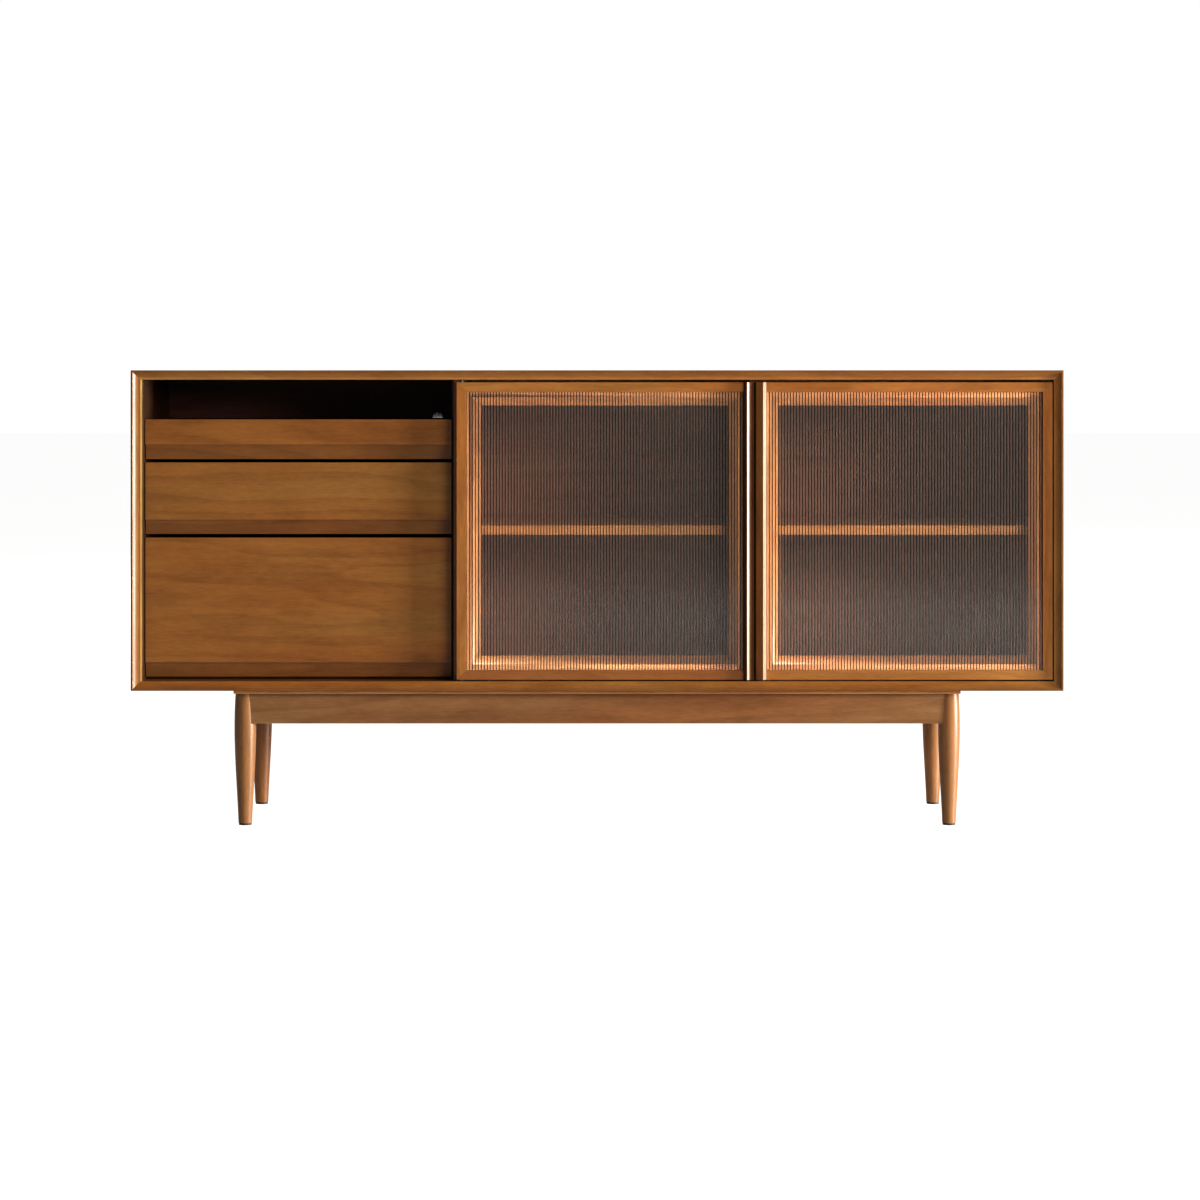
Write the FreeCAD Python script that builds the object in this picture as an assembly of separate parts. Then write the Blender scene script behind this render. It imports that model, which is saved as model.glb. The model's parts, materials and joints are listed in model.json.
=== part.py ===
import FreeCAD, Part
import math
import os

# Sideboard buffet: a mitred box with three drawers under an open niche and two glazed doors,
# on a low base with four turned legs.
# Frame: X to the right seen from the front, Y to the rear, Z up, millimetres.
# Origin: on the floor, under the middle of the box.
# Depths are often given as t, the distance behind the front edge of the box.

# Driving dimensions
WIDTH = 1600.0
DEPTH = 400.0
HEIGHT = 785.0
BODY_BOTTOM = 235.0
PANEL = 16.0

# Front edge of the box, seen end on
CHAMFER = 3.4
COVE_MIDDLE = (7.9, 4.7)
COVE_END = 13.5
LIP_DEPTH = 7.5
REBATE = 7.0
REBATE_DEPTH = 12.0

# Inside of the box
BACK_THICKNESS = 6.0
DIVIDER_LEFT = -247.0
PARTITION_LEFT = 263.0
INNER_FRONT = 31.0
LINER = 4.0
NICHE_SHELF_TOP = 699.0
NICHE_SHELF = 12.0
NOTCH_X = -291.0
NOTCH_RADIUS = 9.0
SHELF_BOTTOM = 501.0
SHELF_FRONT = 45.0
SHELF_GAP = 1.0
PIN_RADIUS = 2.5
SHELF_PIN_DEPTHS = (90.0, 330.0)
SHELF_PIN_IN = 7.0
SHELF_PIN_OUT = 9.0

# Drawers: name, bottom and top of the front, height of the box behind it
DRAWERS = (
    ("drawer_small", 631.7, 700.5, 40.0),
    ("drawer_medium", 502.6, 626.2, 88.0),
    ("drawer_large", 256.5, 496.6, 190.0),
)
FRONT_LEFT = -778.6
FRONT_RIGHT = -250.9
FRONT_THICKNESS = 22.0
GRIP_HEIGHT = 25.0
GRIP_DEPTH = 4.5
GRIP_FOOT_DEPTH = 8.0
GRIP_UNDERCUT = 2.0
BOX_RISE = 9.0
BOX_WALL = 12.0
BOX_LENGTH = 320.0
BOX_BOTTOM = 5.0
GROOVE = 6.0
GROOVE_RISE = 8.0
RUNNER_SPACE = 13.0
RUNNER_LENGTH = 325.0
RUNNER_HEIGHT = 30.0
RUNNER_SHEET = 1.5
RUNNER_FLANGE = 9.0
RUNNER_PLAY = 1.0
LINER_GAP = 1.0
LEFT_LINER_DEPTH = 9.5

# Doors: hinge edge, meeting edge
DOORS = (("door_left", -240.9, 269.3), ("door_right", 781.8, 272.7))
DOOR_BOTTOM = 253.8
DOOR_TOP = 764.3
DOOR_FRONT = 9.0
DOOR_THICKNESS = 20.0
FRAME_FACE = 16.3
MEETING_FACE = 17.8
RIDGE_OUTER = 5.7
HEEL_RADIUS = 5.0
GLASS_DEPTH = 11.0
GLASS = 4.0
MOULDING = 23.5
MOULDING_LEDGE = 9.5
MOULDING_BACK = 12.0

# Pivot hinges of the doors
PIVOT_IN = 8.0
PIVOT_DEPTH = 5.0
PIVOT_RADIUS = 2.5
PIVOT_BORE = 2.55
PIVOT_BORE_DEPTH = 10.0
PIVOT_END_PLAY = 1.5
LEAF = 2.0
LEAF_LENGTH = 52.0
LEAF_WIDTH = 12.0
PLATE_SHEET = 1.5

# Door catches
MAGNET_RADIUS = 2.0
MAGNET_LENGTH = 10.0
MAGNET_PROUD = 1.0
CATCH_HEIGHTS = (320.0, 700.0)
STRIKE = 1.0
STRIKE_WIDTH = 6.0
STRIKE_HEIGHT = 30.0
CATCH_OFFSET = 5.0

# Base
PLATE_X = 625.0
PLATE_INSET = 16.0
PLATE = 6.2
LEG_X = 608.0
LEG_Y = 150.0
GLIDE = 3.5
GLIDE_RADIUS = 11.0
LEG_TOP_RADIUS = 16.7
LEG_NECK_RADIUS = 18.25
LEG_MAX_RADIUS = 18.75
LEG_CALF_RADIUS = 16.05
LEG_FOOT_RADIUS = 11.75
LEG_SWELL = 60.0
RAIL_BOTTOM = 176.0
RAIL_FACE = 35.0
RAIL_THICKNESS = 18.0
BOLT_RADIUS = 4.0
BOLT_IN_LEG = 34.0
BOLT_IN_PANEL = 10.0
SCREW_RADIUS = 1.75
SCREW_HEAD = 3.5
SCREW_HEAD_HEIGHT = 2.0
SCREW_LENGTH = 12.0
PLATE_SCREWS_X = (-450.0, -150.0, 150.0, 450.0)
PLATE_SCREWS_Y = (-110.0, 110.0)
BACK_SCREWS_X = (-700.0, -500.0, -300.0, -100.0, 150.0, 400.0, 700.0)
BACK_SCREWS_Z = (380.0, 640.0)

# How far cutting tools stick out of what they cut
OVERSHOOT = 1.0

# Derived places
FRONT_Y = -DEPTH / 2
BACK_Y = DEPTH / 2
BODY_TOP_INSIDE = HEIGHT - PANEL
BODY_FLOOR = BODY_BOTTOM + PANEL
SIDE_INSIDE = WIDTH / 2 - PANEL
BACK_FRONT_Y = BACK_Y - REBATE_DEPTH
INNER_FRONT_Y = FRONT_Y + INNER_FRONT
DIVIDER_RIGHT = DIVIDER_LEFT + PANEL
PARTITION_RIGHT = PARTITION_LEFT + PANEL
BAY_LEFT = -SIDE_INSIDE + LINER
BAY_RIGHT = DIVIDER_LEFT - LINER
LINER_Y = INNER_FRONT_Y + FRONT_THICKNESS + LINER_GAP
PLATE_BOTTOM = BODY_BOTTOM - PLATE
DOOR_FRONT_Y = FRONT_Y + DOOR_FRONT
DOOR_REAR_Y = DOOR_FRONT_Y + DOOR_THICKNESS
PIVOT_Y = DOOR_FRONT_Y + PIVOT_DEPTH
BACK_SEAM = DIVIDER_LEFT + PANEL / 2
BACK_REAR_Y = BACK_FRONT_Y + BACK_THICKNESS

nodes = {}


def vec(x, y, z):
    return FreeCAD.Vector(x, y, z)


def box(low, high):
    """A block between two opposite corners given in any order."""
    corners = [sorted(pair) for pair in zip(low, high)]
    sizes = [top - bottom for bottom, top in corners]
    return Part.makeBox(*sizes, vec(*[bottom for bottom, top in corners]))


def rod(radius, start, direction, length):
    return Part.makeCylinder(radius, length, vec(*start), vec(*direction))


def prism(points, sweep):
    """A flat polygon swept along a vector."""
    corners = [vec(*point) for point in points]
    wire = Part.makePolygon(corners + corners[:1])
    return Part.Face(wire).extrude(vec(*sweep))


def straight(points):
    """The sides of a closed outline, each as a pair of points."""
    return list(zip(points, points[1:] + points[:1]))


def outline_face(segments, place, s):
    """A face from (u, t) segments: two points make a line, three an arc."""
    edges = []
    for segment in segments:
        points = [vec(*place(u, t, s)) for u, t in segment]
        curve = Part.Arc(*points) if len(points) == 3 else Part.LineSegment(*points)
        edges.append(curve.toShape())
    return Part.Face(Part.Wire(edges))


def framed_bar(segments, place, length, cut_start=1.0, cut_end=1.0):
    """Runs an outline along one side of a rectangular frame and mitres its ends.

    u is the distance in from the frame's outer edge, t the depth behind the box's front,
    and place(u, t, s) the world point at a distance s from the middle of the side.
    A cut of 1 mitres that end at 45 degrees, and 0 leaves it square.
    """
    start = vec(*place(0, 0, -length / 2))
    end = vec(*place(0, 0, length / 2))
    bar = outline_face(segments, place, -length / 2).extrude(end - start)
    deep = max(u for segment in segments for u, t in segment) + OVERSHOOT
    corners = [
        (0, -length / 2),
        (0, length / 2),
        (deep, length / 2 - cut_end * deep),
        (deep, -length / 2 + cut_start * deep),
    ]
    wedge = prism([place(u, -OVERSHOOT, s) for u, s in corners], (0, DEPTH + 2 * OVERSHOOT, 0))
    return bar.common(wedge)


def frame_places(left, right, bottom, top):
    """Place functions and lengths of a rectangle's bottom, top, left and right sides."""
    middle_x = (left + right) / 2
    middle_z = (bottom + top) / 2
    return {
        "bottom": (lambda u, t, s: (middle_x + s, FRONT_Y + t, bottom + u), abs(right - left)),
        "top": (lambda u, t, s: (middle_x + s, FRONT_Y + t, top - u), abs(right - left)),
        "left": (lambda u, t, s: (left + u, FRONT_Y + t, middle_z + s), top - bottom),
        "right": (lambda u, t, s: (right - u, FRONT_Y + t, middle_z + s), top - bottom),
    }


def add(name, *solids):
    """Stores one node: one solid, or several that stay apart."""
    nodes[name] = solids[0] if len(solids) == 1 else Part.makeCompound(list(solids))


def cut(name, *tools):
    for tool in tools:
        nodes[name] = nodes[name].cut(tool)


# ---------------------------------------------------------------- box


def panel_outline():
    """Section of a box panel: outer chamfer, cove, flat lip and a rebate for the back."""
    return [
        ((0, DEPTH), (0, CHAMFER)),
        ((0, CHAMFER), (CHAMFER, 0)),
        ((CHAMFER, 0), COVE_MIDDLE, (COVE_END, LIP_DEPTH)),
        ((COVE_END, LIP_DEPTH), (PANEL, LIP_DEPTH)),
        ((PANEL, LIP_DEPTH), (PANEL, DEPTH - REBATE_DEPTH)),
        ((PANEL, DEPTH - REBATE_DEPTH), (PANEL - REBATE, DEPTH - REBATE_DEPTH)),
        ((PANEL - REBATE, DEPTH - REBATE_DEPTH), (PANEL - REBATE, DEPTH)),
        ((PANEL - REBATE, DEPTH), (0, DEPTH)),
    ]


def make_box():
    places = frame_places(-WIDTH / 2, WIDTH / 2, BODY_BOTTOM, HEIGHT)
    names = {"bottom": "bottom_panel", "top": "top_panel", "left": "left_side", "right": "right_side"}
    for side, name in names.items():
        place, length = places[side]
        add(name, framed_bar(panel_outline(), place, length))


def make_uprights():
    for name, left in (("divider", DIVIDER_LEFT), ("centre_partition", PARTITION_LEFT)):
        low = (left, INNER_FRONT_Y, BODY_FLOOR)
        high = (left + PANEL, BACK_FRONT_Y, BODY_TOP_INSIDE)
        add(name, box(low, high))


def make_drawer_bay():
    add("niche_shelf", box(
        (BAY_LEFT, LINER_Y, NICHE_SHELF_TOP - NICHE_SHELF),
        (BAY_RIGHT, BACK_FRONT_Y, NICHE_SHELF_TOP),
    ))
    left = box(
        (-SIDE_INSIDE, FRONT_Y + LEFT_LINER_DEPTH, BODY_FLOOR),
        (BAY_LEFT, BACK_FRONT_Y, BODY_TOP_INSIDE),
    )
    right = box((BAY_RIGHT, LINER_Y, BODY_FLOOR), (DIVIDER_LEFT, BACK_FRONT_Y, BODY_TOP_INSIDE))
    bottom = box((BAY_LEFT, LINER_Y, BODY_FLOOR), (BAY_RIGHT, BACK_FRONT_Y, BODY_FLOOR + LINER))
    add("bay_liners", left, right, bottom)


def make_backs():
    """Two thin back panels that meet on the divider, let into the rebate."""
    outer = SIDE_INSIDE + REBATE
    low_z = BODY_FLOOR - REBATE
    high_z = BODY_TOP_INSIDE + REBATE
    start_y = BACK_FRONT_Y - OVERSHOOT
    through = BACK_THICKNESS + 2 * OVERSHOOT
    notch = rod(NOTCH_RADIUS, (NOTCH_X, start_y, NICHE_SHELF_TOP), (0, 1, 0), through)
    above = box(
        (NOTCH_X - NOTCH_RADIUS, start_y, NICHE_SHELF_TOP),
        (NOTCH_X + NOTCH_RADIUS, BACK_Y, NICHE_SHELF_TOP + NOTCH_RADIUS),
    )
    add("back_panel_left", box((-outer, BACK_FRONT_Y, low_z), (BACK_SEAM, BACK_REAR_Y, high_z)))
    cut("back_panel_left", notch.common(above))
    add("back_panel_right", box((BACK_SEAM, BACK_FRONT_Y, low_z), (outer, BACK_REAR_Y, high_z)))


def make_shelves():
    """One shelf in each door bay, on four pins let into the uprights."""
    bays = (
        ("shelf_left", DIVIDER_RIGHT, PARTITION_LEFT, "divider", "centre_partition"),
        ("shelf_right", PARTITION_RIGHT, SIDE_INSIDE, "centre_partition", "right_side"),
    )
    pins = []
    for name, left, right, left_node, right_node in bays:
        low = (left + SHELF_GAP, FRONT_Y + SHELF_FRONT, SHELF_BOTTOM)
        high = (right - SHELF_GAP, BACK_FRONT_Y - SHELF_GAP, SHELF_BOTTOM + PANEL)
        add(name, box(low, high))
        for wall, inward, node in ((left, 1, left_node), (right, -1, right_node)):
            for depth in SHELF_PIN_DEPTHS:
                start = (wall - inward * SHELF_PIN_IN, FRONT_Y + depth, SHELF_BOTTOM - PIN_RADIUS)
                pin = rod(PIN_RADIUS, start, (inward, 0, 0), SHELF_PIN_IN + SHELF_PIN_OUT)
                pins.append(pin)
                cut(node, pin)
    add("shelf_pins", *pins)


# ---------------------------------------------------------------- drawers


def drawer_front(bottom, top):
    """A front board with a recess along its foot, under an undercut lip to pull on."""
    face = INNER_FRONT_Y
    lip = bottom + GRIP_HEIGHT
    outline = [
        (face, top),
        (face + FRONT_THICKNESS, top),
        (face + FRONT_THICKNESS, bottom),
        (face + GRIP_FOOT_DEPTH, bottom),
        (face + GRIP_DEPTH, lip + GRIP_UNDERCUT),
        (face, lip),
    ]
    points = [(FRONT_LEFT, y, z) for y, z in outline]
    return prism(points, (FRONT_RIGHT - FRONT_LEFT, 0, 0))


def channel(wall_x, inward, z, height, y_front):
    """A C-shaped runner member: a web on a wall, with two flanges turned inward."""
    half = height / 2
    y_rear = y_front + RUNNER_LENGTH
    web_x = wall_x + inward * RUNNER_SHEET
    lip_x = web_x + inward * RUNNER_FLANGE
    web = box((wall_x, y_front, z - half), (web_x, y_rear, z + half))
    flanges = [
        box((web_x, y_front, z + edge * (half - RUNNER_SHEET)), (lip_x, y_rear, z + edge * half))
        for edge in (-1, 1)
    ]
    return web.fuse(flanges).removeSplitter()


def make_drawer(name, bottom, top, box_height):
    low_z = bottom + BOX_RISE
    high_z = low_z + box_height
    y_front = INNER_FRONT_Y + FRONT_THICKNESS
    y_rear = y_front + BOX_LENGTH
    left = BAY_LEFT + RUNNER_SPACE
    right = BAY_RIGHT - RUNNER_SPACE
    panel = box(
        (left + BOX_WALL - GROOVE, y_front - GROOVE, low_z + GROOVE_RISE),
        (right - BOX_WALL + GROOVE, y_rear - BOX_WALL + GROOVE, low_z + GROOVE_RISE + BOX_BOTTOM),
    )
    add(name + "_front", drawer_front(bottom, top))
    add(name + "_left_side", box((left, y_front, low_z), (left + BOX_WALL, y_rear, high_z)))
    add(name + "_right_side", box((right - BOX_WALL, y_front, low_z), (right, y_rear, high_z)))
    add(name + "_back", box((left + BOX_WALL, y_rear - BOX_WALL, low_z), (right - BOX_WALL, y_rear, high_z)))
    for wall in ("_front", "_left_side", "_right_side", "_back"):
        cut(name + wall, panel)
    add(name + "_bottom", panel)
    middle = low_z + box_height / 2
    inner_height = RUNNER_HEIGHT - 2 * (RUNNER_SHEET + RUNNER_PLAY)
    add(name + "_runners", *[
        channel(wall, inward, middle, inner_height, y_front)
        for wall, inward in ((left, -1), (right, 1))
    ])
    return [
        channel(wall, inward, middle, RUNNER_HEIGHT, y_front + RUNNER_PLAY)
        for wall, inward in ((BAY_LEFT, 1), (BAY_RIGHT, -1))
    ]


def make_drawers():
    fixed = []
    for drawer in DRAWERS:
        fixed += make_drawer(*drawer)
    add("cabinet_runners", *fixed)


# ---------------------------------------------------------------- doors


def hinge_stile_outline():
    """Section of a hinge stile, with its rear outer corner rounded to turn clear of the wall beside it."""
    rear = DOOR_FRONT + DOOR_THICKNESS
    heel = HEEL_RADIUS * (1 - math.sqrt(0.5))
    return [
        ((0, rear - HEEL_RADIUS), (0, DOOR_FRONT)),
        ((0, DOOR_FRONT), (FRAME_FACE, DOOR_FRONT)),
        ((FRAME_FACE, DOOR_FRONT), (FRAME_FACE, rear)),
        ((FRAME_FACE, rear), (HEEL_RADIUS, rear)),
        ((HEEL_RADIUS, rear), (heel, rear - heel), (0, rear - HEEL_RADIUS)),
    ]


def meeting_stile(edge, inward):
    """The stile at the doors' meeting, with a sharp full-height ridge to pull on."""
    glass_side = edge + inward * MEETING_FACE
    outline = [
        (edge, DOOR_REAR_Y),
        (edge, DOOR_FRONT_Y),
        (glass_side - inward * RIDGE_OUTER, FRONT_Y),
        (glass_side, DOOR_FRONT_Y),
        (glass_side, DOOR_REAR_Y),
    ]
    points = [(x, y, DOOR_BOTTOM) for x, y in outline]
    return prism(points, (0, 0, DOOR_TOP - DOOR_BOTTOM))


def inner_moulding(left, right):
    """Four mitred strips behind the glass: a flat ledge, then a slope back to the opening."""
    front = GLASS_DEPTH + GLASS
    rear = DOOR_FRONT + DOOR_THICKNESS
    section = straight([
        (0, rear),
        (0, front),
        (MOULDING_LEDGE, front),
        (MOULDING, front + MOULDING_BACK),
        (MOULDING, rear),
    ])
    places = frame_places(left, right, DOOR_BOTTOM + FRAME_FACE, DOOR_TOP - FRAME_FACE)
    return [framed_bar(section, place, length) for place, length in places.values()]


def make_door(name, hinge_edge, meeting_edge):
    inward = 1 if meeting_edge > hinge_edge else -1
    rail_end = meeting_edge - inward * MEETING_FACE
    left, right = sorted((hinge_edge, rail_end))
    places = frame_places(left, right, DOOR_BOTTOM, DOOR_TOP)
    flat = straight([
        (0, DOOR_FRONT + DOOR_THICKNESS),
        (0, DOOR_FRONT),
        (FRAME_FACE, DOOR_FRONT),
        (FRAME_FACE, DOOR_FRONT + DOOR_THICKNESS),
    ])
    place, length = places["left" if inward > 0 else "right"]
    add(name + "_hinge_stile", framed_bar(hinge_stile_outline(), place, length))
    for side in ("top", "bottom"):
        place, length = places[side]
        mitres = (1.0, 0.0) if inward > 0 else (0.0, 1.0)
        add(name + "_" + side + "_rail", framed_bar(flat, place, length, *mitres))
    add(name + "_meeting_stile", meeting_stile(meeting_edge, -inward))
    opening = sorted((hinge_edge + inward * FRAME_FACE, rail_end))
    add(name + "_moulding", *inner_moulding(*opening))
    add(name + "_glass", box(
        (opening[0], FRONT_Y + GLASS_DEPTH, DOOR_BOTTOM + FRAME_FACE),
        (opening[1], FRONT_Y + GLASS_DEPTH + GLASS, DOOR_TOP - FRAME_FACE),
    ))
    return make_hinges(name, hinge_edge, inward)


def make_hinges(name, hinge_edge, inward):
    """Pivot hinges at the door's two ends, and the strike plates of its catches.

    Returns the plates with pins that are fixed in the box.
    """
    pivot_x = hinge_edge + inward * PIVOT_IN
    leaf_start = hinge_edge + inward * (PIVOT_IN - LEAF_WIDTH / 2)
    leaf_y = (PIVOT_Y - LEAF_WIDTH / 3, PIVOT_Y + LEAF_WIDTH * 2 / 3)
    ends = ((DOOR_BOTTOM, BODY_FLOOR, 1), (DOOR_TOP, BODY_TOP_INSIDE, -1))
    fittings = []
    plates = []
    for edge_z, wall_z, into in ends:
        side = "_bottom_rail" if into > 0 else "_top_rail"
        leaf = box(
            (leaf_start, leaf_y[0], edge_z),
            (leaf_start + inward * LEAF_LENGTH, leaf_y[1], edge_z + into * LEAF),
        )
        bore = rod(PIVOT_BORE, (pivot_x, PIVOT_Y, edge_z), (0, 0, into), LEAF + PIVOT_BORE_DEPTH)
        cut(name + "_hinge_stile", leaf, bore)
        cut(name + side, leaf, bore)
        fittings.append(leaf.cut(bore))
        plate = box(
            (leaf_start, leaf_y[0], wall_z),
            (leaf_start + inward * LEAF_LENGTH, leaf_y[1], wall_z + into * PLATE_SHEET),
        )
        reach = abs(edge_z - wall_z) + LEAF + PIVOT_BORE_DEPTH - PIVOT_END_PLAY
        pin = rod(PIVOT_RADIUS, (pivot_x, PIVOT_Y, wall_z), (0, 0, into), reach)
        plates.append(plate.fuse(pin).removeSplitter())
    for height in CATCH_HEIGHTS:
        strike = box(
            (catch_x(inward) - STRIKE_WIDTH / 2, DOOR_REAR_Y - STRIKE, height - STRIKE_HEIGHT / 2),
            (catch_x(inward) + STRIKE_WIDTH / 2, DOOR_REAR_Y, height + STRIKE_HEIGHT / 2),
        )
        cut(name + "_meeting_stile", strike)
        fittings.append(strike)
    add(name + "_fittings", *fittings)
    return plates


def catch_x(inward):
    """Where a door's magnets stand in the partition's front edge."""
    middle = PARTITION_LEFT + PANEL / 2
    return middle - inward * CATCH_OFFSET


def make_doors():
    plates = []
    for door in DOORS:
        plates += make_door(*door)
    add("pivot_plates", *plates)
    magnets = []
    for inward in (1, -1):
        for height in CATCH_HEIGHTS:
            start = (catch_x(inward), INNER_FRONT_Y - MAGNET_PROUD, height)
            magnets.append(rod(MAGNET_RADIUS, start, (0, 1, 0), MAGNET_LENGTH))
    cut("centre_partition", *magnets)
    add("door_magnets", *magnets)


# ---------------------------------------------------------------- base


def make_leg(x, y):
    """A turned leg: it swells a little down to the rails' foot, then tapers to its own foot."""
    swell_z = PLATE_BOTTOM - LEG_SWELL
    profile = Part.BSplineCurve()
    points = [
        (LEG_TOP_RADIUS, PLATE_BOTTOM),
        (LEG_NECK_RADIUS, (PLATE_BOTTOM + swell_z) / 2),
        (LEG_MAX_RADIUS, swell_z),
        (LEG_CALF_RADIUS, (swell_z + GLIDE) / 2),
        (LEG_FOOT_RADIUS, GLIDE),
    ]
    profile.interpolate([vec(x + radius, y, z) for radius, z in points])
    axis_top = vec(x, y, PLATE_BOTTOM)
    axis_foot = vec(x, y, GLIDE)
    wire = Part.Wire([
        Part.LineSegment(axis_top, vec(x + LEG_TOP_RADIUS, y, PLATE_BOTTOM)).toShape(),
        profile.toShape(),
        Part.LineSegment(vec(x + LEG_FOOT_RADIUS, y, GLIDE), axis_foot).toShape(),
        Part.LineSegment(axis_foot, axis_top).toShape(),
    ])
    return Part.Face(wire).revolve(axis_top, vec(0, 0, 1), 360)


def make_legs():
    glides = []
    bolts = []
    for row, y in (("front", -LEG_Y), ("rear", LEG_Y)):
        for side, x in (("left", -LEG_X), ("right", LEG_X)):
            name = "leg_" + row + "_" + side
            bolt_bottom = PLATE_BOTTOM - BOLT_IN_LEG
            bolt = rod(BOLT_RADIUS, (x, y, bolt_bottom), (0, 0, 1), BOLT_IN_LEG + PLATE + BOLT_IN_PANEL)
            glides.append(rod(GLIDE_RADIUS, (x, y, 0), (0, 0, 1), GLIDE))
            bolts.append(bolt)
            add(name, make_leg(x, y))
            cut(name, bolt)
    cut("base_plate", *bolts)
    cut("bottom_panel", *bolts)
    add("leg_glides", *glides)
    add("leg_bolts", *bolts)


def make_base_plate():
    y = DEPTH / 2 - PLATE_INSET
    add("base_plate", box((-PLATE_X, -y, PLATE_BOTTOM), (PLATE_X, y, BODY_BOTTOM)))


def make_rails():
    """Rails between the legs, coped to fit against the turned wood."""
    face = DEPTH / 2 - RAIL_FACE
    half = RAIL_THICKNESS / 2
    rails = {
        "front_rail": ((-LEG_X, -face), (LEG_X, -face + RAIL_THICKNESS)),
        "rear_rail": ((-LEG_X, face - RAIL_THICKNESS), (LEG_X, face)),
        "left_rail": ((-LEG_X - half, -LEG_Y), (-LEG_X + half, LEG_Y)),
        "right_rail": ((LEG_X - half, -LEG_Y), (LEG_X + half, LEG_Y)),
    }
    for name, (low, high) in rails.items():
        rail = box((*low, RAIL_BOTTOM), (*high, PLATE_BOTTOM))
        for x in (-LEG_X, LEG_X):
            for y in (-LEG_Y, LEG_Y):
                rail = rail.cut(make_leg(x, y))
        add(name, max(rail.Solids, key=lambda piece: piece.Volume))


def plate_screw(x, y):
    """A countersunk screw up through the base plate into the bottom panel."""
    shank = rod(SCREW_RADIUS, (x, y, PLATE_BOTTOM), (0, 0, 1), PLATE + SCREW_LENGTH)
    head = Part.makeCone(SCREW_HEAD, SCREW_RADIUS, SCREW_HEAD_HEIGHT, vec(x, y, PLATE_BOTTOM))
    return shank.fuse(head).removeSplitter()


def back_screw(x, z):
    """A pan-head screw from the rear through a back panel."""
    shank = rod(SCREW_RADIUS, (x, BACK_FRONT_Y - SCREW_LENGTH, z), (0, 1, 0), SCREW_LENGTH + BACK_THICKNESS)
    head = rod(SCREW_HEAD, (x, BACK_REAR_Y, z), (0, 1, 0), SCREW_HEAD_HEIGHT)
    return shank.fuse(head).removeSplitter()


def make_screws():
    screws = []
    for x in PLATE_SCREWS_X:
        for y in PLATE_SCREWS_Y:
            screw = plate_screw(x, y)
            cut("base_plate", screw)
            cut("bottom_panel", screw)
            screws.append(screw)
    edge = PANEL - REBATE / 2
    rows = (("bottom_panel", BODY_BOTTOM + edge), ("top_panel", HEIGHT - edge))
    columns = (
        ("left_side", -WIDTH / 2 + edge),
        ("right_side", WIDTH / 2 - edge),
        ("centre_partition", PARTITION_LEFT + PANEL / 2),
    )
    places = [(node, x, z) for node, z in rows for x in BACK_SCREWS_X]
    places += [(node, x, z) for node, x in columns for z in BACK_SCREWS_Z]
    for node, x, z in places:
        screw = back_screw(x, z)
        cut("back_panel_left" if x < BACK_SEAM else "back_panel_right", screw)
        cut(node, screw)
        screws.append(screw)
    add("wood_screws", *screws)


def write_parts():
    os.makedirs("parts", exist_ok=True)
    for name, shape in nodes.items():
        shape.exportStep(os.path.join("parts", name + ".step"))


make_box()
make_uprights()
make_drawer_bay()
make_backs()
make_shelves()
make_drawers()
make_doors()
make_base_plate()
make_rails()
make_legs()
make_screws()
write_parts()
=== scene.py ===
import json
import math

import bpy
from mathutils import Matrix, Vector


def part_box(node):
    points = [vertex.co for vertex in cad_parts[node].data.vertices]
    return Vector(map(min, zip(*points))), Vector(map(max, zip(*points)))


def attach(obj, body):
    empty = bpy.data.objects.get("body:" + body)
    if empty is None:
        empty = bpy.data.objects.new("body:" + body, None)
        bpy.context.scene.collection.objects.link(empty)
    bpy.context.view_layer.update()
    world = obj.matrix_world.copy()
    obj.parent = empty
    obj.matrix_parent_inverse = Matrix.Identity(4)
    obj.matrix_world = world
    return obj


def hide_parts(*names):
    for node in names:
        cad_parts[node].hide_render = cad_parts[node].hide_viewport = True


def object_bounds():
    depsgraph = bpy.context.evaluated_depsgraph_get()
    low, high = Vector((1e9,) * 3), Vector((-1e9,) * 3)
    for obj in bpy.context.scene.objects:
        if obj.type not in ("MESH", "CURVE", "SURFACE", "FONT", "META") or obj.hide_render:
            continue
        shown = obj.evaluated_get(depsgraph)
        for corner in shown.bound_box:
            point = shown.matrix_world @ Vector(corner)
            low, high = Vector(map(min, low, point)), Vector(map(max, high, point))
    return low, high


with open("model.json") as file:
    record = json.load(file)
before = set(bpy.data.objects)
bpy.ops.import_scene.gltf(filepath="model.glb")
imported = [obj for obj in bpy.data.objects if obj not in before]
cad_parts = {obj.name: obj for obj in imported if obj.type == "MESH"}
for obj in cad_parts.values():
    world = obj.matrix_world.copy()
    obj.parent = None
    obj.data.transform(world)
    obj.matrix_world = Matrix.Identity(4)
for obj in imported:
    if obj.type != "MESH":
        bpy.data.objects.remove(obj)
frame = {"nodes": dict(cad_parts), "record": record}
cad_low, cad_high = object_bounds()

# Everything is in metres, +Z up, with the front of the sideboard towards -Y.
MM = 0.001

# ---------------------------------------------------------------- camera and studio

# Lens and sensor are in mm, and the shift is a share of the sensor's width.
CAMERA_LENS = 106.5
CAMERA_SENSOR = 36.0
CAMERA_SHIFT = -0.189
CAMERA_DISTANCE = 6.085
CAMERA_HEIGHT = 0.780
CAMERA_X = 0.005
CAMERA_REACH = 200.0

FLOOR_HALF = 40.0
FLOOR_COLOUR = (0.52, 0.515, 0.51)
FLOOR_ROUGHNESS = 0.9
FLOOR_SPECULAR = 0.1
# How strongly the floor glows as the camera sees it, and towards everything else.
FLOOR_SEEN = 0.92
FLOOR_GLOW = 0.04
BACKDROP_WHITE = 1.0
AMBIENT = (1.0, 0.97, 0.95)
AMBIENT_STRENGTH = 0.10

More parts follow.
